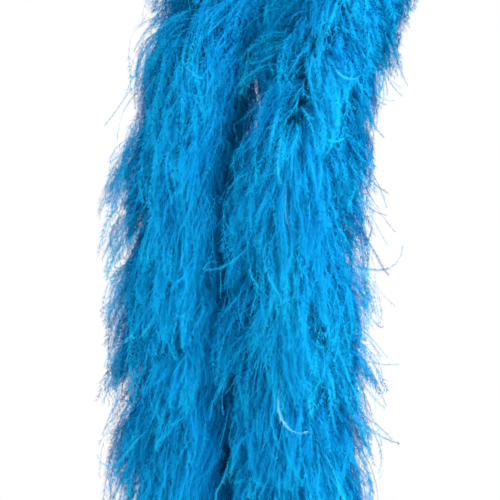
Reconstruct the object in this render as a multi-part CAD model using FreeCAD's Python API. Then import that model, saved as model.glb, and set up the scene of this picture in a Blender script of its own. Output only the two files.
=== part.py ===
"""Feather boa: a twisted feather rope worn round the neck, with two free tails in front.

The frame is in millimetres, +Z up and -Y towards the front. Its origin is the point on the
back of the wearer's neck that the boa rests against. Each sub-part is written as one STEP file.
"""
import FreeCAD, Part
import math
import os

from FreeCAD import Vector

# ---- rope -------------------------------------------------------------------------------
CORE_DIAMETER = 6.0          # carrier cord in the middle of the rope
STRAND_DIAMETER = 3.2        # a ply strand laid round the core
STRAND_COUNT = 6
LAY_PER_STEP = 24.0          # degrees that the strands turn in one step of the lay
STEP_LENGTH = 16.0           # length of one step of the lay
LAY_CLEARANCE = 0.35         # between the core and the strands

# ---- quill strips and threads ---------------------------------------------------------------
STRIP_WIDTH = 3.4
STRIP_THICKNESS = 0.9
STRIP_COUNT = 6              # strips round the rope in one tuft
STRIP_CLEARANCE = 0.25       # between the strands and a strip
THREAD_DIAMETER = 1.2
THREAD_SPACING = 0.2         # between one turn of thread and the next
THREAD_CLEARANCE = 0.15      # between the strands and a thread
BINDING_TURNS = 4
WHIPPING_TURNS = 9

# ---- plume tufts ------------------------------------------------------------------------
PLUME_RADIUS = 110.0         # reach of the flues from the core
PLUME_POINTS = 8             # flutes round a tuft
PLUME_VALLEY = 0.51          # depth that the flutes leave, as a share of the reach
PLUME_RIM = 7.0              # thickness of a tuft at its widest
TUFT_END_WALL = 6.5          # thickness of a tuft where it closes round the rope
TUFT_END_GAP = 9.0           # from a route point to the end of the tuft beside it
TUFT_ROLL = 17.0             # degrees from one tuft's flutes to the next
CHANNEL_CLEARANCE = 0.3      # between the strips and a tuft
TAIL_GAP = 0.6               # each tail's distance from the plane between the tails
TUFT_GAP = 0.4               # each tuft's distance from the plane between two tufts
NECK_RADIUS = 60.0           # kept clear of plumes round the neck's axis
NECK_REACH_DOWN = 130.0      # how far below the nape tufts are cut back from the neck

# ---- joints and ends --------------------------------------------------------------------
LARGEST_SWING = 38.0         # degrees, the largest range of a joint between two rope sections
SECTION_CLEARANCE = 0.3      # between the core's rounded ends at that swing
KNOT_RADIUS = 9.5
KNOT_FLAT = 6.0              # from the knot's centre up to its flat top
KNOT_CLEARANCE = 0.2         # between the rope's end and the knot
LOOP_DIAMETER = 2.5
LOOP_CLEARANCE = 0.4         # between the knot and the ends of its loop

# ---- route of the core --------------------------------------------------------------------
ARC_SHARE = 0.45             # share of the shorter run that an arc takes

# From the left tail's first joint, over the left shoulder, behind the neck and down the right.
NECK_ROUTE = [
    (-156, -222, -336), (-150, -216, -256), (-136, -196, -180), (-118, -158, -114),
    (-100, -110, -60), (-88, -56, -22), (-70, 4, -2), (-26, 40, 6), (30, 40, 6),
    (74, 4, -2), (86, -54, -22), (74, -116, -62), (48, -178, -110), (16, -234, -168),
    (-10, -274, -242), (-24, -292, -328),
]
LEFT_ROUTE = [
    (-156, -222, -336), (-160, -225, -422), (-161, -224, -509), (-158, -222, -596),
    (-154, -223, -683), (-152, -225, -768), (-153, -224, -850),
]
RIGHT_ROUTE = [
    (-24, -292, -328), (-29, -296, -414), (-30, -298, -501), (-27, -297, -588),
    (-25, -295, -675), (-27, -294, -760), (-30, -295, -838),
]
# One end loop, across and down from the knot's centre.
LOOP_ROUTE = [(-3.6, -9.3), (-7.5, -22), (-11, -37), (-6.5, -51)]
SECTIONS = ["upper", "middle", "lower"]
RUNS_PER_SECTION = 2

# The upright plane between the tails.
PARTING_POINT = (-91.5, -259.0, 0.0)
PARTING_NORMAL = (129.0, -74.0, 0.0)

# ---- sizes that follow --------------------------------------------------------------------
CORE_RADIUS = CORE_DIAMETER / 2
STRAND_RADIUS = STRAND_DIAMETER / 2
LAY_STEP = math.radians(LAY_PER_STEP)
RING_FOR_CORE = CORE_RADIUS + STRAND_RADIUS + LAY_CLEARANCE
RING_FOR_COUNT = (STRAND_RADIUS + LAY_CLEARANCE) / math.sin(math.pi / STRAND_COUNT)
RING_RADIUS = max(RING_FOR_CORE, RING_FOR_COUNT) / math.cos(LAY_STEP / 2)
ROPE_RADIUS = RING_RADIUS + STRAND_RADIUS
STRIP_INNER = ROPE_RADIUS + STRIP_CLEARANCE
STRIP_OUTER = STRIP_INNER + STRIP_THICKNESS
CHANNEL_RADIUS = math.hypot(STRIP_OUTER, STRIP_WIDTH / 2) + CHANNEL_CLEARANCE
TUFT_END_RADIUS = CHANNEL_RADIUS + TUFT_END_WALL
THREAD_RADIUS = THREAD_DIAMETER / 2
THREAD_PITCH = THREAD_DIAMETER + THREAD_SPACING
THREAD_RING = ROPE_RADIUS + THREAD_CLEARANCE + THREAD_RADIUS
HALF_SWING = math.radians(LARGEST_SWING / 2)
CORE_SETBACK = (CORE_RADIUS + SECTION_CLEARANCE / 2) / math.cos(HALF_SWING)
STRAND_SETBACK = ROPE_RADIUS * math.tan(HALF_SWING) + SECTION_CLEARANCE
WHIPPING_LENGTH = WHIPPING_TURNS * THREAD_PITCH
SMALL = 1e-6
BIG = 3000.0                 # larger than anything that a plane cuts


def unit(vector):
    """A copy of a vector, one long."""
    return Vector(vector).normalize()


class Corner:
    """The largest tangent arc that the two runs beside a route point allow."""

    def __init__(self, before, point, after):
        run_in, run_out = point - before, after - point
        self.turn = run_in.getAngle(run_out)
        cut = ARC_SHARE * min(run_in.Length, run_out.Length)
        self.radius = cut / math.tan(self.turn / 2)
        self.start = point - unit(run_in) * cut
        self.end = point + unit(run_out) * cut
        inward = unit(unit(run_out) - unit(run_in))
        self.centre = point + inward * (self.radius / math.cos(self.turn / 2))
        self.axis = unit(run_in.cross(run_out))
        self.length = self.radius * self.turn

    def point(self, distance):
        """The point this far along the arc."""
        rotation = FreeCAD.Rotation(self.axis, math.degrees(distance / self.radius))
        return self.centre + rotation.multVec(self.start - self.centre)

    def tangent(self, distance):
        """The way the arc runs, this far along it."""
        return unit(self.axis.cross(self.point(distance) - self.centre))

    def bend(self, distance):
        """The curvature, as a vector towards the arc's centre."""
        return unit(self.centre - self.point(distance)) * (1 / self.radius)

    def edge(self, first, last):
        """The arc between two distances along it."""
        middle = self.point((first + last) / 2)
        return Part.Arc(self.point(first), middle, self.point(last)).toShape()


class Run:
    """A straight run between two arcs."""

    def __init__(self, start, end):
        self.start, self.direction = start, unit(end - start)
        self.length = (end - start).Length

    def point(self, distance):
        return self.start + self.direction * distance

    def tangent(self, distance):
        return Vector(self.direction)

    def bend(self, distance):
        return Vector(0, 0, 0)

    def edge(self, first, last):
        return Part.LineSegment(self.point(first), self.point(last)).toShape()


class Path:
    """A route rounded into straight runs joined by tangent arcs."""

    def __init__(self, route):
        points = [Vector(*place) for place in route]
        self.corners = [Corner(*three) for three in zip(points, points[1:], points[2:])]
        self.pieces, self.stations = [], [0.0]
        start, travelled = points[0], 0.0
        for corner in self.corners:
            run = Run(start, corner.start)
            self.pieces += [run, corner]
            self.stations.append(travelled + run.length + corner.length / 2)
            travelled += run.length + corner.length
            start = corner.end
        self.pieces.append(Run(start, points[-1]))
        self.length = travelled + self.pieces[-1].length
        self.stations.append(self.length)

    def locate(self, distance):
        """The piece that a distance along the path falls on, and how far along that piece."""
        for piece in self.pieces[:-1]:
            if distance <= piece.length:
                return piece, distance
            distance -= piece.length
        return self.pieces[-1], distance

    def point(self, distance):
        piece, along = self.locate(distance)
        return piece.point(along)

    def tangent(self, distance):
        piece, along = self.locate(distance)
        return piece.tangent(along)

    def bend(self, distance):
        piece, along = self.locate(distance)
        return piece.bend(along)

    def wire(self, first, last):
        """The path between two distances along it."""
        edges, travelled = [], 0.0
        for piece in self.pieces:
            low = max(first - travelled, 0.0)
            high = min(last - travelled, piece.length)
            if high - low > SMALL:
                edges.append(piece.edge(low, high))
            travelled += piece.length
        return Part.Wire(edges)

    def side(self, distance):
        """A direction square to the path that turns with it and never spins round it."""
        side = unit(Vector(0.31, -0.95, 0.05).cross(self.tangent(0.0)))
        steps = max(1, math.ceil(distance / 5.0))
        for step in range(1, steps + 1):
            tangent = self.tangent(distance * step / steps)
            side = unit(side - tangent * side.dot(tangent))
        return side


def tube(wire, radius):
    """A round cord along a wire, checked against its section times its length."""
    first = wire.OrderedEdges[0]
    direction = first.tangentAt(first.FirstParameter)
    circle = Part.Wire([Part.makeCircle(radius, first.valueAt(first.FirstParameter), direction)])
    solid = wire.makePipeShell([circle], True, False)
    ratio = solid.Volume / (math.pi * radius ** 2 * wire.Length)
    if abs(ratio - 1) > 0.01:
        raise ValueError("a tube's volume is %.3f of its section times its length" % ratio)
    return solid


def rounded_end(solid, centre, radius):
    """A cord with a ball at one of its ends."""
    return solid.fuse(Part.makeSphere(radius, centre)).removeSplitter()


def core(path, first, last, ball_first, ball_last):
    """The carrier cord of one section."""
    solid = tube(path.wire(first, last), CORE_RADIUS)
    if ball_first:
        solid = rounded_end(solid, path.point(first), CORE_RADIUS)
    if ball_last:
        solid = rounded_end(solid, path.point(last), CORE_RADIUS)
    return solid


def strand(path, first, last, start_angle):
    """One ply strand, laid round the core."""
    steps = max(3, round((last - first) / STEP_LENGTH))
    length = (last - first) / steps
    points = []
    for step in range(steps + 1):
        distance = first + step * length
        tangent = path.tangent(distance)
        side = path.side(distance)
        angle = start_angle + LAY_STEP * distance / STEP_LENGTH
        out = side * math.cos(angle) + tangent.cross(side) * math.sin(angle)
        # The arcs cut inside the stations of a bent rope by this much.
        inside = path.bend(distance) * (0.12 * length ** 2)
        points.append(path.point(distance) + out * RING_RADIUS - inside)
    laid = Path(points)
    return tube(laid.wire(0.0, laid.length), STRAND_RADIUS)


def strands(path, first, last):
    """The ply strands of one section, side by side round the core."""
    angles = [2 * math.pi * index / STRAND_COUNT for index in range(STRAND_COUNT)]
    return [strand(path, first, last, angle) for angle in angles]


def strip(path, first, last, angle):
    """One split quill, sewn along the outside of the strands."""
    tangent = path.tangent(first)
    side = path.side(first)
    out = side * math.cos(angle) + tangent.cross(side) * math.sin(angle)
    across = tangent.cross(out) * (STRIP_WIDTH / 2)
    origin = path.point(first)
    inner, outer = origin + out * STRIP_INNER, origin + out * STRIP_OUTER
    outline = Part.makePolygon([
        inner - across, inner + across, outer + across, outer - across, inner - across])
    return path.wire(first, last).makePipeShell([outline], True, False)


def thread_turns(path, middle, turns):
    """Turns of thread round the rope, side by side."""
    rings = []
    for turn in range(turns):
        distance = middle + (turn - (turns - 1) / 2) * THREAD_PITCH
        rings.append(Part.makeTorus(
            THREAD_RING, THREAD_RADIUS, path.point(distance), path.tangent(distance)))
    return rings


def cut_away(solid, point, normal):
    """The solid without what lies beyond a plane, on its normal's side."""
    box = Part.makeBox(BIG, BIG, BIG, Vector(-BIG / 2, -BIG / 2, 0))
    box.Placement = FreeCAD.Placement(point, FreeCAD.Rotation(Vector(0, 0, 1), normal))
    return solid.cut(box)


def star_ring(centre, side, up, tip, valley, roll):
    """A ring of points that go out to the flutes' tips and back to their valleys."""
    points = []
    for index in range(2 * PLUME_POINTS):
        angle = roll + math.pi * index / PLUME_POINTS
        reach = tip if index % 2 == 0 else valley
        points.append(centre + (side * math.cos(angle) + up * math.sin(angle)) * reach)
    return points


def fluted_tuft(start, end, side, roll):
    """A tuft from one end of a run to the other: narrow, out to a fluted rim, and narrow."""
    axis = unit(end - start)
    side = unit(side - axis * side.dot(axis))
    up = axis.cross(side)
    middle = (start + end) * 0.5
    half_rim = axis * (PLUME_RIM / 2)
    reach, valley = PLUME_RADIUS, PLUME_RADIUS * PLUME_VALLEY
    narrow = TUFT_END_RADIUS
    rings = [
        star_ring(start, side, up, narrow, narrow, roll),
        star_ring(middle - half_rim, side, up, reach, valley, roll),
        star_ring(middle + half_rim, side, up, reach, valley, roll),
        star_ring(end, side, up, narrow, narrow, roll),
    ]
    faces = [Part.Face(Part.makePolygon(ring + ring[:1])) for ring in (rings[0], rings[-1])]
    for low, high in zip(rings, rings[1:]):
        for index in range(len(low)):
            following = (index + 1) % len(low)
            a, b, c, d = low[index], low[following], high[following], high[index]
            faces.append(Part.Face(Part.makePolygon([a, b, c, a])))
            faces.append(Part.Face(Part.makePolygon([a, c, d, a])))
    return Part.makeSolid(Part.makeShell(faces))


def largest_solid(shape):
    """The main solid of a shape that cuts may have left in pieces."""
    return max(shape.Solids, key=lambda solid: solid.Volume)


def tuft(path, index, number, keep_left, end_gap):
    """The plumes on one run of a path, cut back where something else lies."""
    first, last = path.stations[index], path.stations[index + 1]
    start = path.point(first + TUFT_END_GAP)
    end = path.point(last - end_gap)
    solid = fluted_tuft(start, end, path.side(first), math.radians(TUFT_ROLL * number))
    solid = cut_away(solid, path.point(first) + path.tangent(first) * TUFT_GAP, -path.tangent(first))
    solid = cut_away(solid, path.point(last) - path.tangent(last) * TUFT_GAP, path.tangent(last))
    middle = (start + end) * 0.5
    parting = unit(Vector(*PARTING_NORMAL)) * (1 if keep_left else -1)
    if keep_left is not None:
        solid = cut_away(solid, Vector(*PARTING_POINT) - parting * TAIL_GAP, parting)
    from_neck = Vector(middle.x, middle.y + NECK_RADIUS, 0)
    near = from_neck.Length < NECK_RADIUS + PLUME_RADIUS
    if near and middle.z > -NECK_REACH_DOWN:
        out = unit(from_neck)
        wall = Vector(0, -NECK_RADIUS, 0) + out * NECK_RADIUS
        solid = cut_away(solid, wall, -out)
    channel = tube(path.wire(first, last), CHANNEL_RADIUS)
    return largest_solid(solid.cut(channel))


def knot(path):
    """The knot that locks the end of a tail, under the rope's cut end."""
    end, down = path.point(path.length), path.tangent(path.length)
    centre = end + down * (KNOT_FLAT + KNOT_CLEARANCE)
    ball = Part.makeSphere(KNOT_RADIUS, centre)
    return cut_away(ball, centre - down * KNOT_FLAT, -down), centre


def end_loop(centre):
    """The small cord loop that hangs from a knot."""
    places = LOOP_ROUTE + [(-across, down) for across, down in reversed(LOOP_ROUTE)]
    shift = KNOT_RADIUS + LOOP_CLEARANCE - math.hypot(*LOOP_ROUTE[0])
    points = [centre + Vector(across, 0, down - shift) for across, down in places]
    path = Path(points)
    return tube(path.wire(0.0, path.length), LOOP_DIAMETER / 2), path


def save(name, solids):
    """One sub-part, as one STEP file."""
    shape = solids[0] if len(solids) == 1 else Part.makeCompound(solids)
    for solid in shape.Solids:
        if not solid.isValid():
            raise ValueError("%s has a solid that isn't valid" % name)
    shape.exportStep("parts/%s.step" % name)
    return shape


def report_cord(name, path):
    """Prints a cord's length and its tightest arc."""
    radii = [corner.radius for corner in path.corners]
    print("%s: length %.1f, radii %.1f to %.1f" % (name, path.length, min(radii), max(radii)))


def build_neck_section():
    """The stretch that the wearer holds: behind the neck, over the shoulders and to the chest."""
    path = Path(NECK_ROUTE)
    report_cord("neck section core", path)
    last_station = path.length
    save("neck_core_cord", [core(path, CORE_SETBACK, last_station - CORE_SETBACK, True, True)])
    save("neck_ply_strands", strands(path, STRAND_SETBACK, last_station - STRAND_SETBACK))
    strips, bindings = [], []
    runs = len(NECK_ROUTE) - 1
    for index in range(runs):
        first, last = path.stations[index], path.stations[index + 1]
        for number in range(STRIP_COUNT):
            angle = 2 * math.pi * number / STRIP_COUNT + index
            strips.append(strip(path, first + TUFT_END_GAP, last - TUFT_END_GAP, angle))
        if index:
            bindings += thread_turns(path, first, BINDING_TURNS)
        middle = path.point((first + last) / 2)
        side_of_plane = (middle - Vector(*PARTING_POINT)).dot(Vector(*PARTING_NORMAL))
        behind = middle.y > -NECK_RADIUS
        keep_left = None if behind else side_of_plane < 0
        save("neck_plume_%02d" % (index + 1), [tuft(path, index, index, keep_left, TUFT_END_GAP)])
    save("neck_quill_strips", strips)
    save("neck_binding_threads", bindings)


def build_tail(side, route):
    """One free tail, as three sections and an end loop."""
    path = Path(route)
    report_cord("%s tail core" % side, path)
    whipping_gap = WHIPPING_LENGTH + 2 * THREAD_PITCH
    for number, section in enumerate(SECTIONS):
        name = "%s_%s" % (side, section)
        first_run = number * RUNS_PER_SECTION
        last_run = first_run + RUNS_PER_SECTION
        first, last = path.stations[first_run], path.stations[last_run]
        at_end = last_run == len(route) - 1
        core_last = last if at_end else last - CORE_SETBACK
        strand_last = last if at_end else last - STRAND_SETBACK
        save(name + "_core_cord", [core(path, first + CORE_SETBACK, core_last, True, not at_end)])
        save(name + "_ply_strands", strands(path, first + STRAND_SETBACK, strand_last))
        threads = thread_turns(path, path.stations[first_run + 1], BINDING_TURNS)
        strips = []
        for index in range(first_run, last_run):
            run_first, run_last = path.stations[index], path.stations[index + 1]
            gap = whipping_gap if index == len(route) - 2 else TUFT_END_GAP
            for turn in range(STRIP_COUNT):
                angle = 2 * math.pi * turn / STRIP_COUNT + index
                strips.append(strip(path, run_first + TUFT_END_GAP, run_last - gap, angle))
            plume = tuft(path, index, index + 4, side == "left", gap)
            save("%s_plume_%d" % (side, index + 1), [plume])
        if at_end:
            threads += thread_turns(path, last - WHIPPING_LENGTH / 2 - THREAD_PITCH, WHIPPING_TURNS)
        save(name + "_quill_strips", strips)
        save(name + "_binding_threads", threads)
        pivot = path.point(first)
        print("%s pivot: %.2f %.2f %.2f" % (name, pivot.x, pivot.y, pivot.z))
    end_knot, centre = knot(path)
    save("%s_end_knot" % side, [end_knot])
    loop, loop_path = end_loop(centre)
    save("%s_end_loop" % side, [loop])
    report_cord("%s end loop" % side, loop_path)
    print("%s end loop pivot: %.2f %.2f %.2f" % (side, centre.x, centre.y, centre.z))


os.makedirs("parts", exist_ok=True)
build_neck_section()
build_tail("left", LEFT_ROUTE)
build_tail("right", RIGHT_ROUTE)
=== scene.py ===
"""The look of the feather boa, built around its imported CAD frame.

Every length is in metres, in the CAD's own frame: +Z up, -Y to the front, origin at the nape.
"""
import math

import bpy
import numpy as np
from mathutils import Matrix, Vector


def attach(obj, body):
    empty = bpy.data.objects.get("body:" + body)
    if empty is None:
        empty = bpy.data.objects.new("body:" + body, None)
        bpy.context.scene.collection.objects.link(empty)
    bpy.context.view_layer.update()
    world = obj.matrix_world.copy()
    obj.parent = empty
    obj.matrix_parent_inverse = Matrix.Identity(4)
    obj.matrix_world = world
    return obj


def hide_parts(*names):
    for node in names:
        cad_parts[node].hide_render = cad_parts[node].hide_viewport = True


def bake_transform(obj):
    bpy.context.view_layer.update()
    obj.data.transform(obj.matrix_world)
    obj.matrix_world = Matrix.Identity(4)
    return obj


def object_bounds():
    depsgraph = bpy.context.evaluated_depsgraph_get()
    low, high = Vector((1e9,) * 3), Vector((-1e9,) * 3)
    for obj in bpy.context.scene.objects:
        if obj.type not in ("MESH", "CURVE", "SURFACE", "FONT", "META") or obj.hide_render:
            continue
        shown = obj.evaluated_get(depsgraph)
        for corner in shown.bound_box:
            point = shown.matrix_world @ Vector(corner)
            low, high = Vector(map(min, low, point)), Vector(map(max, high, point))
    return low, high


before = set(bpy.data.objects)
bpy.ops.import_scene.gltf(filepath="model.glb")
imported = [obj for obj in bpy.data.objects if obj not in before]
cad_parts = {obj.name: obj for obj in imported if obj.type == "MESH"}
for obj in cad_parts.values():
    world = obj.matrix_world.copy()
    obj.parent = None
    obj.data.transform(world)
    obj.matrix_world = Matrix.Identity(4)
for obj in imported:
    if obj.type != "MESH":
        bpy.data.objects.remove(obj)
cad_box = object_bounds()

# ---- the rope's route, the same points as the CAD's -----------------------------------------
MM = 0.001
NECK_ROUTE = [
    (-156, -222, -336), (-150, -216, -256), (-136, -196, -180), (-118, -158, -114),
    (-100, -110, -60), (-88, -56, -22), (-70, 4, -2), (-26, 40, 6), (30, 40, 6),
    (74, 4, -2), (86, -54, -22), (74, -116, -62), (48, -178, -110), (16, -234, -168),
    (-10, -274, -242), (-24, -292, -328),
]
LEFT_ROUTE = [
    (-156, -222, -336), (-160, -225, -422), (-161, -224, -509), (-158, -222, -596),
    (-154, -223, -683), (-152, -225, -768), (-153, -224, -850),
]
RIGHT_ROUTE = [
    (-24, -292, -328), (-29, -296, -414), (-30, -298, -501), (-27, -297, -588),
    (-25, -295, -675), (-27, -294, -760), (-30, -295, -838),
]
LOOP_ROUTE = [(-3.6, -9.3), (-7.5, -22), (-11, -37), (-6.5, -51)]
KNOT_RADIUS = 9.5 * MM
KNOT_CORD = 3.3 * MM         # radius of the cord that the knot is tied in
LOOP_CLEARANCE = 0.4 * MM
LOOP_DIAMETER = 2.5 * MM
KNOT_DROP = 6.2 * MM         # from the rope's end down to the knot's centre
NECK_RADIUS = 60 * MM
PARTING_POINT = np.array((-91.5, -259.0, 0.0)) * MM
PARTING_NORMAL = np.array((129.0, -74.0, 0.0)) / math.hypot(129.0, 74.0)

# ---- flues ------------------------------------------------------------------------------
SEED = 5
STEPS = 14                   # straight pieces along a flue
ROOT_RADIUS = 7.0 * MM       # where the flues leave the rope
SHAFT_WIDTH = 0.8 * MM
UV_HALF = 0.004              # half the width of one flue's strip on the colour map
PLUMES_PER_METRE = 260       # the small plumes that the flues belong to
GOLDEN_ANGLE = math.pi * (3 - math.sqrt(5))      # from each plume round the rope to the next
PLUME_ALONG, PLUME_ROUND = 0.011, 0.33    # how far a plume's flues spread, metres and radians
LOCKS = {                    # soft locks of flues that lie together
    "per_metre": 920, "size": 14, "cling": 0.88, "length": 0.149, "length_spread": 0.10,
    "droop": 3.7, "droop_spread": 0.18, "curl": (0.0, 1.5), "curl_power": 1.8, "spread": 7.2 * MM,
    "barbules": 38, "barbule_length": 9.8 * MM, "barbule_base": 1.25 * MM, "fullness": (0.75, 1.15),
    "shade": (0.15, 0.76), "slope": (-0.35, 0.75),
}
SINGLES = {                  # flues that stand apart from the locks
    "per_metre": 1300, "size": 1, "cling": 0.45, "length": 0.150, "length_spread": 0.16,
    "droop": 3.3, "droop_spread": 0.4, "curl": (0.1, 2.4), "curl_power": 2.6, "spread": 0.0,
    "barbules": 72, "barbule_length": 6.0 * MM, "barbule_base": 0.9 * MM, "fullness": (0.5, 1.15),
    "shade": (0.35, 0.90), "slope": (-0.5, 0.9),
}
STRAYS = {                   # a few long ones with hooked tips
    "per_metre": 150, "size": 1, "cling": 0.0, "length": 0.166, "length_spread": 0.14,
    "droop": 3.0, "droop_spread": 0.3, "curl": (1.2, 5.0), "curl_power": 4.0, "spread": 0.0,
    "barbules": 130, "barbule_length": 5.0 * MM, "barbule_base": 0.9 * MM, "fullness": (0.8, 1.3),
    "shade": (0.55, 0.97), "slope": (-0.6, 0.5),
}
SOFTNESS = 0.85              # how far the light falls as on a soft round body, not on each flue
TRIANGLE_SHARE = 1.6         # divides what each triangle adds to its corners' normals
PRESSED_AT = (-0.33, -0.20, -0.10, -0.02, 0.0)    # heights of the rope over the shoulders
PRESSED_TO = {               # and the share of their length flues reach there, each side and behind
    -1: (1.04, 1.0, 0.74, 0.62, 0.85), 0: (1.0, 0.82, 0.62, 0.60, 0.85),
    1: (1.0, 0.78, 0.53, 0.52, 0.85),
}
PRESS_FADE = 1.5             # how soon pressing takes hold, away from the parting
BARBULE_LEAN = math.radians(34)
BARBULE_SPREAD = 0.16        # scatter of the barbules' directions
BARBULE_DROOP = 0.12         # and how much they hang
SHAFT_TAPER = 0.7            # share of its width that a shaft loses on the way to its tip
FIRST_BARBULE = 0.05         # share of a flue below its first barbule
UV_LENGTH = 0.004            # half the length of one barbule on the colour map
SHADE_SCATTER = 0.10         # how far each flue's shade is from its lock's
PAINTED_SHADE_DARKEST = 0.80               # painted shade: what shade is multiplied by at the parting plane
SPIN = 3.0                   # half the most that a flue's flat side turns, in radians
DROOP_START, DROOP_GAIN = 0.3, 1.4        # share of the droop at a flue's root, and what it gains
LOCK_REACH = (0.72, 1.0)     # share of its guide's length that a flue in a lock has
LOCK_ROOT, LOCK_OPENING = 0.35, 1.0       # how wide a lock is at its root, and what it opens by
LOCK_WAVE, LOCK_WAVES = 0.35, (3, 9)      # each flue's own sway, and how often it turns, in radians
BARBULE_LEANS = (0.6, 1.25)  # what the lean and the length of a barbule are multiplied by
BARBULE_REACHES = (0.65, 1.2)
BARBULE_ROOT, BARBULE_SWELL = 0.45, 0.65  # its length at the flue's root, and what the middle adds
HEADING_SCATTER, HEADING_CLING = 0.22, 0.08   # scatter of the flues' directions; locks have less
ROUND_SCATTER = 3.0          # how far round the rope flues stray that don't cling, in radians
CURL_SCATTER = 0.6
PARTING_MARGIN = 0.026       # how far off flues begin to turn along the parting plane
PARTING_PUSH = 0.15          # and how firmly
NECK_MARGIN, NECK_PUSH = 0.008, 0.2       # the same for the neck
NECK_BOTTOM = -0.13          # no neck to keep clear of below this height
HOLLOW_HEIGHT, HOLLOW_REACH = -0.29, 0.05     # the gap between the tails below the chest
HOLLOW_WIDTH = 0.010
PAINTED_SHADE_DEPTH = {-1: 0.052, 1: 0.024}      # painted shade: flues this near the parting plane are darker, each side, for the shade between the tails
END_TAPER, END_SHARE = 0.10, 0.55         # the flues shorten over the last stretch of a tail
PROUD_SHARE, PROUD = 0.03, 1 * MM         # how far flues may stand out of the CAD's box

rng = np.random.default_rng(SEED)
low, high = (np.array(corner) for corner in cad_box)
room = (low - PROUD_SHARE * (high - low) - PROUD, high + PROUD_SHARE * (high - low) + PROUD)


def unit(array):
    """Rows of an array, each one long."""
    return array / np.maximum(np.linalg.norm(array, axis=-1, keepdims=True), 1e-9)


# ---- materials ----------------------------------------------------------------------------
def node_material(name):
    """A new material, its node tree's helper and its Principled shader."""
    material = bpy.data.materials.new(name)
    material.use_nodes = True
    nodes, links = material.node_tree.nodes, material.node_tree.links
    shader = nodes["Principled BSDF"]

    def add(kind, **settings):
        """A new node with its inputs or properties set."""
        node = nodes.new(kind)
        for key, value in settings.items():
            if key in node.inputs:
                node.inputs[key].default_value = value
            else:
                setattr(node, key, value)
        return node

    return material, add, links.new, shader


def ramp(add, stops):
    """A colour ramp with the given (position, colour) stops."""
    node = add("ShaderNodeValToRGB")
    elements = node.color_ramp.elements
    while len(elements) < len(stops):
        elements.new(0.5)
    for element, (position, colour) in zip(elements, stops):
        element.position = position
        element.color = (*colour, 1.0)
    return node


def flue_material():
    """Dyed ostrich flues: each has its own shade, paler at the tip and darker at the root as
    painted shade.
    """
    material, add, link, shader = node_material("dyed_flues_painted_shade")
    place = add("ShaderNodeUVMap", uv_map="OFBake")
    parts = add("ShaderNodeSeparateXYZ")
    link(place.outputs["UV"], parts.inputs["Vector"])
    # the palest shades are pale shafts, and also a painted highlight that stands in for small
    # glints on the flues
    shade = ramp(add, [
        (0.0, (0.003, 0.21, 0.58)), (0.3, (0.004, 0.34, 0.76)), (0.6, (0.005, 0.41, 0.84)),
        (0.86, (0.008, 0.50, 0.89)), (0.97, (0.03, 0.64, 0.92)), (1.0, (0.30, 0.80, 0.93))])
    link(parts.outputs["X"], shade.inputs["Fac"])
    # painted shade: each flue darkens towards its root, where the inside of the boa lies in shade
    along = ramp(add, [
        (0.0, (0.50, 0.62, 0.74)), (0.35, (0.86, 0.92, 0.96)), (0.75, (1.0, 1.0, 1.0)),
        (1.0, (1.0, 1.10, 0.96))])
    link(parts.outputs["Y"], along.inputs["Fac"])
    tint = add("ShaderNodeMix", data_type="RGBA", blend_type="MULTIPLY")
    tint.inputs["Factor"].default_value = 1.0
    link(shade.outputs["Color"], tint.inputs["A"])
    link(along.outputs["Color"], tint.inputs["B"])
    stretch = add("ShaderNodeMapping")
    stretch.inputs["Scale"].default_value = (60.0, 9.0, 1.0)
    link(place.outputs["UV"], stretch.inputs["Vector"])
    mottle = add("ShaderNodeTexNoise", Scale=1.0, Detail=3.0)
    link(stretch.outputs["Vector"], mottle.inputs["Vector"])
    uneven = ramp(add, [(0.3, (0.80, 0.86, 0.90)), (0.7, (1.0, 1.0, 1.0))])
    link(mottle.outputs["Fac"], uneven.inputs["Fac"])
    dyed = add("ShaderNodeMix", data_type="RGBA", blend_type="MULTIPLY")
    dyed.inputs["Factor"].default_value = 1.0
    link(tint.outputs["Result"], dyed.inputs["A"])
    link(uneven.outputs["Color"], dyed.inputs["B"])
    link(dyed.outputs["Result"], shader.inputs["Base Color"])
    shader.inputs["Roughness"].default_value = 0.62
    shader.inputs["Specular IOR Level"].default_value = 0.0
    shader.inputs["Sheen Weight"].default_value = 0.25
    shader.inputs["Sheen Roughness"].default_value = 0.4
    shader.inputs["Sheen Tint"].default_value = (0.0, 0.65, 1.0, 1.0)
    return material


def fibre_material(name, dark, light, scale, roughness, bump):
    """Spun fibre: fine streaks of shade and a matching bump."""
    material, add, link, shader = node_material(name)
    place = add("ShaderNodeTexCoord")
    wave = add("ShaderNodeTexWave", Scale=scale, Distortion=3.0, Detail=2.0)
    wave.bands_direction = "DIAGONAL"
    link(place.outputs["Object"], wave.inputs["Vector"])
    noise = add("ShaderNodeTexNoise", Scale=scale * 3.0, Detail=4.0)
    link(place.outputs["Object"], noise.inputs["Vector"])
    both = add("ShaderNodeMath", operation="MULTIPLY")
    link(wave.outputs["Fac"], both.inputs[0])
    link(noise.outputs["Fac"], both.inputs[1])
    colours = ramp(add, [(0.1, dark), (0.6, light)])
    link(both.outputs["Value"], colours.inputs["Fac"])
    link(colours.outputs["Color"], shader.inputs["Base Color"])
    height = add("ShaderNodeBump", Strength=bump, Distance=0.0004)
    link(both.outputs["Value"], height.inputs["Height"])
    link(height.outputs["Normal"], shader.inputs["Normal"])
    shader.inputs["Roughness"].default_value = roughness
    shader.inputs["Specular IOR Level"].default_value = 0.2
    shader.inputs["Sheen Weight"].default_value = 0.12
    shader.inputs["Sheen Tint"].default_value = (0.1, 0.6, 1.0, 1.0)
    return material


# ---- the rope's line ----------------------------------------------------------------------
def route_curve(name, points):
    """A curve object with one open NURBS spline through its control points."""
    data = bpy.data.curves.new(name, "CURVE")
    data.dimensions = "3D"
    data.resolution_u = 24
    spline = data.splines.new("NURBS")
    spline.points.add(len(points) - 1)
    for point, place in zip(spline.points, points):
        point.co = (*place, 1.0)
    spline.order_u = 3
    spline.use_endpoint_u = True
    piece = bpy.data.objects.new(name, data)
    bpy.context.collection.objects.link(piece)
    return piece


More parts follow.
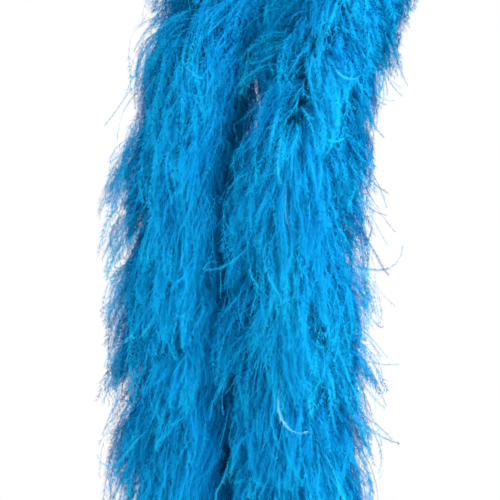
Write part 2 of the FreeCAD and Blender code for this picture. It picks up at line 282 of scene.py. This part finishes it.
def line_points(route):
    """The points of a route's smooth line, read from its NURBS spline."""
    piece = route_curve("line", [Vector(place) * MM for place in route])
    bpy.context.view_layer.update()
    mesh = bpy.data.meshes.new_from_object(piece.evaluated_get(
        bpy.context.evaluated_depsgraph_get()))
    points = np.array([vertex.co for vertex in mesh.vertices])
    bpy.data.meshes.remove(mesh)
    bpy.data.curves.remove(piece.data)
    return points


class Line:
    """A polyline that can be asked for its point, tangent and side at a distance."""

    def __init__(self, route, free_end=False):
        self.free_end = free_end
        self.points = line_points(route)
        steps = np.linalg.norm(np.diff(self.points, axis=0), axis=1)
        self.distances = np.concatenate(([0.0], np.cumsum(steps)))
        marks = np.array(route) * MM
        near = [np.argmin(np.linalg.norm(self.points - mark, axis=1)) for mark in marks]
        self.marks = self.distances[near]
        tangents = unit(np.gradient(self.points, axis=0))
        sides = []
        side = np.cross((0.31, -0.95, 0.05), tangents[0])
        for tangent in tangents:
            side = unit(side - tangent * side.dot(tangent))
            sides.append(side)
        self.tangents, self.sides = tangents, np.array(sides)

    def read(self, values, distance):
        """Values along the line, read at an array of distances."""
        return np.stack([np.interp(distance, self.distances, values[:, i]) for i in range(3)], 1)

    def at(self, distance):
        """Points, tangents and two square directions at an array of distances."""
        tangent = unit(self.read(self.tangents, distance))
        side = self.read(self.sides, distance)
        side = unit(side - tangent * np.sum(side * tangent, 1, keepdims=True))
        return self.read(self.points, distance), tangent, side, np.cross(tangent, side)


# ---- flues ------------------------------------------------------------------------------
def keep_clear(points, heading, parting):
    """Turns flues that meet the neck or the other tail, so that they lie along it."""
    if parting:
        over = (points - PARTING_POINT) @ PARTING_NORMAL * parting
        into = heading @ PARTING_NORMAL * parting
        hollow = np.exp(-((points[:, 2] - HOLLOW_HEIGHT) / HOLLOW_REACH) ** 2)
        push = np.where(over < PARTING_MARGIN + HOLLOW_WIDTH * hollow,
                        np.maximum(-into, 0.0) + PARTING_PUSH, 0.0)
        heading = heading + push[:, None] * PARTING_NORMAL * parting
    out = points - np.array((0.0, -NECK_RADIUS, 0.0))
    out[:, 2] = 0.0
    reach = np.linalg.norm(out, axis=1)
    out = unit(out)
    into = -np.sum(heading * out, 1)
    near = (reach < NECK_RADIUS + NECK_MARGIN) & (points[:, 2] > NECK_BOTTOM)
    push = np.where(near, np.maximum(into, 0.0) + NECK_PUSH, 0.0)
    return unit(heading + push[:, None] * out)


def grow(root, heading, length, droop, curl, curl_power, curl_axis, parting):
    """The points along each guide, as it leaves the rope, droops and curls."""
    points = [root]
    step = length / STEPS
    for index in range(STEPS):
        t = (index + 0.5) / STEPS
        heading = heading.copy()
        heading[:, 2] -= droop * (DROOP_START + DROOP_GAIN * t) / STEPS
        heading = unit(heading)
        turn = (curl * (curl_power + 1) * t ** curl_power / STEPS)[:, None]
        heading = unit(heading + np.cross(curl_axis, heading) * turn)
        heading = keep_clear(points[-1], heading, parting)
        points.append(points[-1] + heading * step[:, None])
    return np.stack(points, 1)


def lock_of(guides, size, spread):
    """Flues that lie round each guide: close at the root, loose in the middle, closing again."""
    count = len(guides) * size
    t = np.linspace(0.0, 1.0, STEPS + 1)
    reach = rng.uniform(*LOCK_REACH, count)[:, None] * t[None, :] * STEPS
    low = np.minimum(reach.astype(int), STEPS - 1)
    part = (reach - low)[..., None]
    guide = np.repeat(np.arange(len(guides)), size)[:, None]
    paths = guides[guide, low] * (1 - part) + guides[guide, low + 1] * part
    offset = rng.normal(size=(count, 1, 3)) * spread
    open_by = (LOCK_ROOT + LOCK_OPENING * np.sin(math.pi * t ** 1.2 * 0.95))[None, :, None]
    wave = rng.normal(size=(count, 1, 3)) * spread * LOCK_WAVE
    phase = rng.uniform(0, 2 * math.pi, (count, 1))
    waves = rng.uniform(*LOCK_WAVES, (count, 1))
    sway = np.sin(phase + t[None, :] * waves)[..., None] * t[None, :, None]
    return paths + offset * open_by + wave * sway


def soft_normals(vertices, faces, outward):
    """Triangles turned outwards, and for each vertex a normal between its own and the body's."""
    corners = vertices[faces]
    own = unit(np.cross(corners[:, 1] - corners[:, 0], corners[:, 2] - corners[:, 0]))
    facing = np.sum(own * outward[faces[:, 0]], 1)
    turned = facing < 0
    faces[turned] = faces[turned][:, ::-1]
    own[turned] *= -1
    normals = outward * SOFTNESS
    for corner in range(3):
        normals[faces[:, corner]] += own * (1 - SOFTNESS) / TRIANGLE_SHARE
    return faces, unit(normals)


def flue_arrays(paths, outward, spin, shade, fullness, kind):
    """Vertices, triangles, UVs and normals of flues: flat shafts with barbules on both sides."""
    barbules = kind["barbules"]
    count = len(paths)
    tangents = unit(np.gradient(paths, axis=1))
    t_nodes = np.linspace(0.0, 1.0, STEPS + 1)
    across = unit(np.cross(tangents, rng.normal(size=(count, 1, 3))))
    other = np.cross(tangents, across)
    angle = spin[:, None] * t_nodes[None, :] * 2.0
    side = across * np.cos(angle)[..., None] + other * np.sin(angle)[..., None]

    width = SHAFT_WIDTH * (1.0 - SHAFT_TAPER * t_nodes)[None, :, None] / 2
    ribbon = np.stack((paths - side * width, paths + side * width), 2)
    ribbon = ribbon.reshape(count, -1, 3)
    ring = np.arange(STEPS) * 2
    quad = np.stack((ring, ring + 1, ring + 3, ring, ring + 3, ring + 2), 1).reshape(-1, 3)
    per_flue = 2 * (STEPS + 1)
    shaft_faces = (quad[None] + (np.arange(count) * per_flue)[:, None, None]).reshape(-1, 3)
    edges = shade[:, None, None] + np.array((-1, 1)) * UV_HALF
    ribbon_uv = np.stack((
        np.broadcast_to(edges, (count, STEPS + 1, 2)),
        np.broadcast_to(t_nodes[None, :, None], (count, STEPS + 1, 2))), -1).reshape(-1, 2)

    t = (np.arange(barbules) + 0.5) / barbules
    jitter = rng.uniform(-0.4, 0.4, (count, barbules)) / barbules
    t = FIRST_BARBULE + (1 - FIRST_BARBULE) * t[None, :] + jitter
    t = np.clip(t, 0.0, 1.0)
    spot = np.clip(t * STEPS, 0, STEPS - 1e-6)
    low = spot.astype(int)
    part = (spot - low)[..., None]
    rows = np.arange(count)[:, None]

    def read(values):
        """Values along each flue, read at its barbules."""
        return values[rows, low] * (1 - part) + values[rows, low + 1] * part

    centre, along, out = read(paths), unit(read(tangents)), unit(read(side))
    tufts, tuft_uv = [], []
    tuft_outward = np.repeat(unit(read(outward))[:, :, None], 3, 2)
    size = BARBULE_ROOT + BARBULE_SWELL * np.sin(np.pi * t ** 0.85 * 0.84)
    for sign in (-1.0, 1.0):
        lean = BARBULE_LEAN * rng.uniform(*BARBULE_LEANS, (count, barbules))[..., None]
        way = along * np.cos(lean) + sign * out * np.sin(lean)
        way = unit(way + rng.normal(scale=BARBULE_SPREAD, size=way.shape)
                   - np.array((0, 0, BARBULE_DROOP)))
        reach = kind["barbule_length"] * size * rng.uniform(*BARBULE_REACHES, (count, barbules))
        reach = (reach * fullness[:, None])[..., None]
        base = along * kind["barbule_base"] / 2
        tufts.append(np.stack((centre - base, centre + base, centre + way * reach), 2))
        u = np.broadcast_to(shade[:, None], t.shape)
        tuft_uv.append(np.stack((
            np.stack((u - UV_HALF, u + UV_HALF, u), -1),
            np.stack((t - UV_LENGTH, t - UV_LENGTH, t + UV_LENGTH), -1)), -1))
    fringe = np.concatenate(tufts, 1).reshape(-1, 3)
    fringe_uv = np.concatenate(tuft_uv, 1).reshape(-1, 2)

    vertices = np.concatenate((ribbon.reshape(-1, 3), fringe))
    uvs = np.clip(np.concatenate((ribbon_uv, fringe_uv)), 0.0, 1.0)
    fringe_faces = np.arange(len(fringe)).reshape(-1, 3) + count * per_flue
    faces = np.concatenate((shaft_faces, fringe_faces))
    body = np.concatenate((np.repeat(outward, 2, 1).reshape(-1, 3),
                           np.concatenate((tuft_outward, tuft_outward), 1).reshape(-1, 3)))
    faces, normals = soft_normals(vertices, faces, body)
    return vertices, faces, uvs, normals


def mesh_piece(name, vertices, faces, uvs=None, normals=None):
    """A mesh object from arrays of vertices, triangles, and a UV and a normal for each vertex."""
    mesh = bpy.data.meshes.new(name)
    mesh.vertices.add(len(vertices))
    mesh.vertices.foreach_set("co", vertices.astype(np.float32).ravel())
    mesh.loops.add(faces.size)
    mesh.loops.foreach_set("vertex_index", faces.astype(np.int32).ravel())
    mesh.polygons.add(len(faces))
    mesh.polygons.foreach_set("loop_start", np.arange(len(faces), dtype=np.int32) * 3)
    mesh.update(calc_edges=True)
    if uvs is not None:
        layer = mesh.uv_layers.new(name="OFBake")
        layer.data.foreach_set("uv", uvs[faces.ravel()].astype(np.float32).ravel())
    if normals is not None:
        mesh.polygons.foreach_set("use_smooth", np.ones(len(faces), dtype=bool))
        mesh.normals_split_custom_set_from_vertices(normals.astype(np.float32))
    piece = bpy.data.objects.new(name, mesh)
    bpy.context.collection.objects.link(piece)
    return piece


def plumes_of(first, last):
    """The small plumes on a stretch of the rope: what the flues of each have in common."""
    count = round((last - first) * PLUMES_PER_METRE)
    return {
        "distance": first + (last - first) * (np.arange(count) + rng.uniform(size=count)) / count,
        "angle": np.arange(count) * GOLDEN_ANGLE + rng.uniform(-0.5, 0.5, count),
        "slope": rng.uniform(0.0, 1.0, count),
        "lean": rng.normal(scale=0.30, size=count),
        "length": rng.uniform(0.86, 1.12, count),
        "droop": rng.uniform(0.7, 1.25, count),
        "curl": rng.uniform(0.0, 1.0, count),
        "curl_axis": unit(rng.normal(size=(count, 3))),
        "shade": rng.uniform(0.0, 1.0, count),
    }


def flues_of(kind, plumes, line, first, last, parting):
    """The flues of one kind on a stretch of the rope, as arrays."""
    length = last - first
    count = max(4, round(length * kind["per_metre"]))
    size, cling = kind["size"], kind["cling"]
    own = rng.integers(0, len(plumes["angle"]), count)

    def mixed(trait, low=0.0, high=1.0):
        """A trait shared with the flue's plume as far as the kind clings to it."""
        share = plumes[trait][own] * cling + rng.uniform(size=count) * (1 - cling)
        return low + (high - low) * share

    distance = np.where(rng.uniform(size=count) < cling, plumes["distance"][own]
                        + rng.normal(scale=PLUME_ALONG, size=count),
                        first + rng.uniform(0.0, length, count))
    distance = first + (distance - first) % length
    stray = PLUME_ROUND + ROUND_SCATTER * (1 - cling)
    angle = plumes["angle"][own] + rng.normal(size=count) * stray
    centre, tangent, side, up = line.at(distance)
    out = side * np.cos(angle)[:, None] + up * np.sin(angle)[:, None]
    round_rope = np.cross(tangent, out)
    downhill = np.where(tangent[:, 2:] > 0, -tangent, tangent)
    slope = mixed("slope", *kind["slope"])
    lean = (plumes["lean"][own] * cling)[:, None]
    heading = unit(out + downhill * slope[:, None] + round_rope * lean
                   + rng.normal(scale=HEADING_SCATTER - HEADING_CLING * cling, size=out.shape))
    outer = np.clip(PRESS_FADE * (out @ PARTING_NORMAL) * parting, 0.0, 1.0) if parting else 1.0
    pressed = 1 - (1 - np.interp(centre[:, 2], PRESSED_AT, PRESSED_TO[parting])) * outer
    vary = kind["length_spread"]
    long = kind["length"] * rng.uniform(1 - vary, 1 + vary, count) * pressed
    long = long * (1 + (plumes["length"][own] - 1) * cling)
    if line.free_end:
        left = line.distances[-1] - distance
        long = long * np.interp(left, (0.0, END_TAPER), (END_SHARE, 1.0))
    vary = kind["droop_spread"]
    droop = kind["droop"] * rng.uniform(1 - vary, 1 + vary, count)
    droop = droop * (1 + (plumes["droop"][own] - 1) * cling)
    curl = mixed("curl", *kind["curl"])
    curl_axis = unit(plumes["curl_axis"][own] * cling
                     + rng.normal(scale=CURL_SCATTER, size=(count, 3)))
    root = centre + out * ROOT_RADIUS
    guides = grow(root, heading, long, droop, curl, kind["curl_power"], curl_axis, parting)
    paths = lock_of(guides, size, kind["spread"]) if size > 1 else guides
    shade = np.repeat(mixed("shade", *kind["shade"]), size)
    shade = shade + rng.uniform(-SHADE_SCATTER, SHADE_SCATTER, count * size)
    # painted shade: flues near the parting plane get a darker colour for the shade that falls
    # between the tails
    if parting:
        depth = np.abs((paths[:, STEPS // 2] - PARTING_POINT) @ PARTING_NORMAL)
        shade = shade * np.clip(depth / PAINTED_SHADE_DEPTH[parting], PAINTED_SHADE_DARKEST, 1.0)
    shade = np.clip(shade, UV_HALF, 1 - UV_HALF)
    reach = paths - np.repeat(centre, size, 0)[:, None]
    rope_way = np.repeat(tangent, size, 0)[:, None]
    outward = unit(reach - rope_way * np.sum(reach * rope_way, 2, keepdims=True))
    fits = np.all((paths > room[0]) & (paths < room[1]), axis=(1, 2))
    spin = rng.uniform(-SPIN, SPIN, count * size)
    fullness = rng.uniform(*kind["fullness"], count * size)
    return flue_arrays(paths[fits], outward[fits], spin[fits], shade[fits], fullness[fits], kind)


def flues(name, line, first, last, parting):
    """All the flues of one run of the rope, as one piece."""
    plumes = plumes_of(first, last)
    groups, total = [], 0
    for kind in (LOCKS, SINGLES, STRAYS):
        vertices, faces, uvs, normals = flues_of(kind, plumes, line, first, last, parting)
        groups.append((vertices, faces + total, uvs, normals))
        total += len(vertices)
    return mesh_piece(name, *(np.concatenate(arrays) for arrays in zip(*groups)))


def parting_side(line, distance):
    """-1 or 1 for the side of the parting plane that a stretch is on, 0 behind the neck."""
    middle = line.at(np.array([distance]))[0][0]
    if middle[1] > -NECK_RADIUS:
        return 0
    return 1 if (middle - PARTING_POINT) @ PARTING_NORMAL > 0 else -1


def dress(name, node, line, index, material, body, next_body=None):
    """The flues of one run, standing for its CAD tuft: attached to its body, or left in place where
    the run reaches into the next body.
    """
    first, last = line.marks[index], line.marks[index + 1]
    piece = flues(name, line, first, last, parting_side(line, (first + last) / 2))
    piece.data.materials.append(material)
    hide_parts(node)
    if next_body:
        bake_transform(piece)
    else:
        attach(piece, body)


def dress_neck(material):
    """Flues behind the neck, over the shoulders and down the chest."""
    line = Line(NECK_ROUTE)
    runs = len(NECK_ROUTE) - 1
    for index in range(runs):
        node = "neck_plume_%02d" % (index + 1)
        below, joint_at = None, None
        if index == 0:
            below, joint_at = "left_upper", line.points[0]
        if index == runs - 1:
            below, joint_at = "right_upper", line.points[-1]
        dress("neck_flues_%02d" % (index + 1), node, line, index, material, "neck_section",
              below)


def dress_tail(side, route, material):
    """Flues of one free tail, section by section."""
    line = Line(route, free_end=True)
    sections = ["%s_upper" % side, "%s_middle" % side, "%s_lower" % side]
    for index in range(len(route) - 1):
        body = sections[index // 2]
        below, joint_at = None, None
        if index % 2 and index < len(route) - 2:
            below = sections[index // 2 + 1]
            joint_at = line.at(line.marks[index + 1:index + 2])[0][0]
        dress("%s_flues_%d" % (side, index + 1), "%s_plume_%d" % (side, index + 1), line, index,
              material, body, below)
    return line


# ---- ends -------------------------------------------------------------------------------
def knot_mesh(name, centre, material):
    """An overhand knot drawn tight: a cord along a trefoil, in the CAD knot's place."""
    turns, sides = 96, 14
    t = np.linspace(0.0, 2 * math.pi, turns, endpoint=False)
    spread = (KNOT_RADIUS - KNOT_CORD) / 3.0
    line = np.stack((np.sin(t) + 2 * np.sin(2 * t), np.cos(t) - 2 * np.cos(2 * t),
                     -1.15 * np.sin(3 * t)), 1) * spread
    line = line[:, (0, 2, 1)]
    tangent = unit(np.roll(line, -1, 0) - np.roll(line, 1, 0))
    out = unit(np.cross(tangent, (0.21, 0.93, 0.3)))
    up = np.cross(tangent, out)
    angle = np.linspace(0.0, 2 * math.pi, sides, endpoint=False)
    lay = 1.0 + 0.08 * np.cos(3 * angle[None, :] + 12 * t[:, None])
    rings = line[:, None] + KNOT_CORD * lay[..., None] * (
        out[:, None] * np.cos(angle)[None, :, None] + up[:, None] * np.sin(angle)[None, :, None])
    a = np.arange(turns)[:, None] * sides + np.arange(sides)[None, :]
    b = np.arange(turns)[:, None] * sides + (np.arange(sides)[None, :] + 1) % sides
    c, d = np.roll(b, -1, 0), np.roll(a, -1, 0)
    faces = np.concatenate((np.stack((a, b, c), -1).reshape(-1, 3),
                            np.stack((a, c, d), -1).reshape(-1, 3)))
    piece = mesh_piece(name, rings.reshape(-1, 3) + np.array(centre), faces)
    piece.data.polygons.foreach_set("use_smooth", [True] * len(piece.data.polygons))
    piece.data.materials.append(material)
    return piece


def finish_end(side, line, knot_material, loop_material):
    """The knot and the hanging loop at the end of a tail."""
    down = line.tangents[-1]
    centre = line.points[-1] + down * KNOT_DROP
    knot = knot_mesh("%s_knot" % side, centre, knot_material)
    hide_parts("%s_end_knot" % side)
    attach(knot, "%s_lower" % side)
    shift = KNOT_RADIUS + LOOP_CLEARANCE - math.hypot(*LOOP_ROUTE[0]) * MM
    places = LOOP_ROUTE + [(-across, drop) for across, drop in reversed(LOOP_ROUTE)]
    points = [Vector(centre) + Vector((x * MM, 0, z * MM - shift)) for x, z in places]
    loop = route_curve("%s_loop_cord" % side, points)
    loop.data.bevel_depth = LOOP_DIAMETER / 2
    loop.data.bevel_resolution = 4
    loop.data.materials.append(loop_material)
    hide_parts("%s_end_loop" % side)
    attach(loop, "%s_loop" % side)


# ---- camera, light and floor ------------------------------------------------------------------
FRAME_CENTRE = Vector((-0.081, -0.25, -0.435))
FRAME_WIDTH = 0.650
CAMERA_DISTANCE = 3.0
SENSOR = 36.0
FLOOR_SIZE, FLOOR_DROP = 6.0, 0.25       # the drop is from the boa's lowest point


def area_light(name, place, size, power):
    """A soft square light aimed at the middle of the boa."""
    data = bpy.data.lights.new(name, "AREA")
    data.shape, data.size, data.energy = "SQUARE", size, power
    lamp = bpy.data.objects.new(name, data)
    lamp.location = place
    lamp.rotation_euler = (FRAME_CENTRE - Vector(place)).to_track_quat("-Z", "Y").to_euler()
    bpy.context.collection.objects.link(lamp)


def set_stage():
    """Camera, soft studio light and a plain pale floor."""
    data = bpy.data.cameras.new("camera")
    data.sensor_width = SENSOR
    data.lens = SENSOR * CAMERA_DISTANCE / FRAME_WIDTH
    camera = bpy.data.objects.new("camera", data)
    camera.location = FRAME_CENTRE - Vector((0, CAMERA_DISTANCE, 0))
    camera.rotation_euler = (math.pi / 2, 0, 0)
    bpy.context.collection.objects.link(camera)
    bpy.context.scene.camera = camera

    area_light("key", (1.5, -2.7, 0.5), 3.0, 70)
    area_light("fill", (-1.4, -2.2, -0.5), 2.4, 12)
    area_light("shoulder", (1.7, -1.5, 1.2), 1.4, 30)
    area_light("rim", (0.4, 1.6, 0.9), 1.4, 8)

    world = bpy.data.worlds.new("studio")
    world.use_nodes = True
    world.node_tree.nodes["Background"].inputs["Color"].default_value = (1.0, 1.0, 1.0, 1.0)
    world.node_tree.nodes["Background"].inputs["Strength"].default_value = 1.0
    bpy.context.scene.world = world
    bpy.context.scene.view_settings.view_transform = "Standard"

    floor_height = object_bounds()[0][2] - FLOOR_DROP
    bpy.ops.mesh.primitive_plane_add(size=FLOOR_SIZE, location=(0, 0, floor_height))
    floor = bpy.context.active_object
    floor.name = "floor"
    material, add, link, shader = node_material("pale_floor")
    noise = add("ShaderNodeTexNoise", Scale=3.0, Detail=2.0)
    colours = ramp(add, [(0.3, (0.86, 0.86, 0.86)), (0.7, (0.90, 0.90, 0.90))])
    link(noise.outputs["Fac"], colours.inputs["Fac"])
    link(colours.outputs["Color"], shader.inputs["Base Color"])
    shader.inputs["Roughness"].default_value = 0.8
    floor.data.materials.append(material)


def paint_cad_nodes():
    """Fibre, quill and thread materials on the CAD pieces that stay."""
    looks = {
        "core_cord": fibre_material(
            "core_cotton", (0.0, 0.06, 0.16), (0.0, 0.22, 0.42), 900.0, 0.85, 0.5),
        "ply_strands": fibre_material(
            "ply_cotton", (0.0, 0.08, 0.20), (0.0, 0.26, 0.48), 1200.0, 0.8, 0.6),
        "quill_strips": fibre_material(
            "pared_quill", (0.0, 0.20, 0.40), (0.05, 0.42, 0.62), 500.0, 0.45, 0.3),
        "binding_threads": fibre_material(
            "waxed_thread", (0.0, 0.10, 0.24), (0.0, 0.28, 0.50), 1500.0, 0.6, 0.4),
    }
    for name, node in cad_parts.items():
        for ending, material in looks.items():
            if name.endswith(ending):
                node.data.materials.clear()
                node.data.materials.append(material)


set_stage()
paint_cad_nodes()
flue_look = flue_material()
dress_neck(flue_look)
knot_look = fibre_material("knot_cotton", (0.0, 0.08, 0.20), (0.0, 0.26, 0.48), 900.0, 0.8, 0.6)
loop_look = fibre_material("loop_cotton", (0.0, 0.10, 0.24), (0.0, 0.30, 0.52), 1400.0, 0.75, 0.6)
for side, route in (("left", LEFT_ROUTE), ("right", RIGHT_ROUTE)):
    tail = dress_tail(side, route, flue_look)
    finish_end(side, tail, knot_look, loop_look)
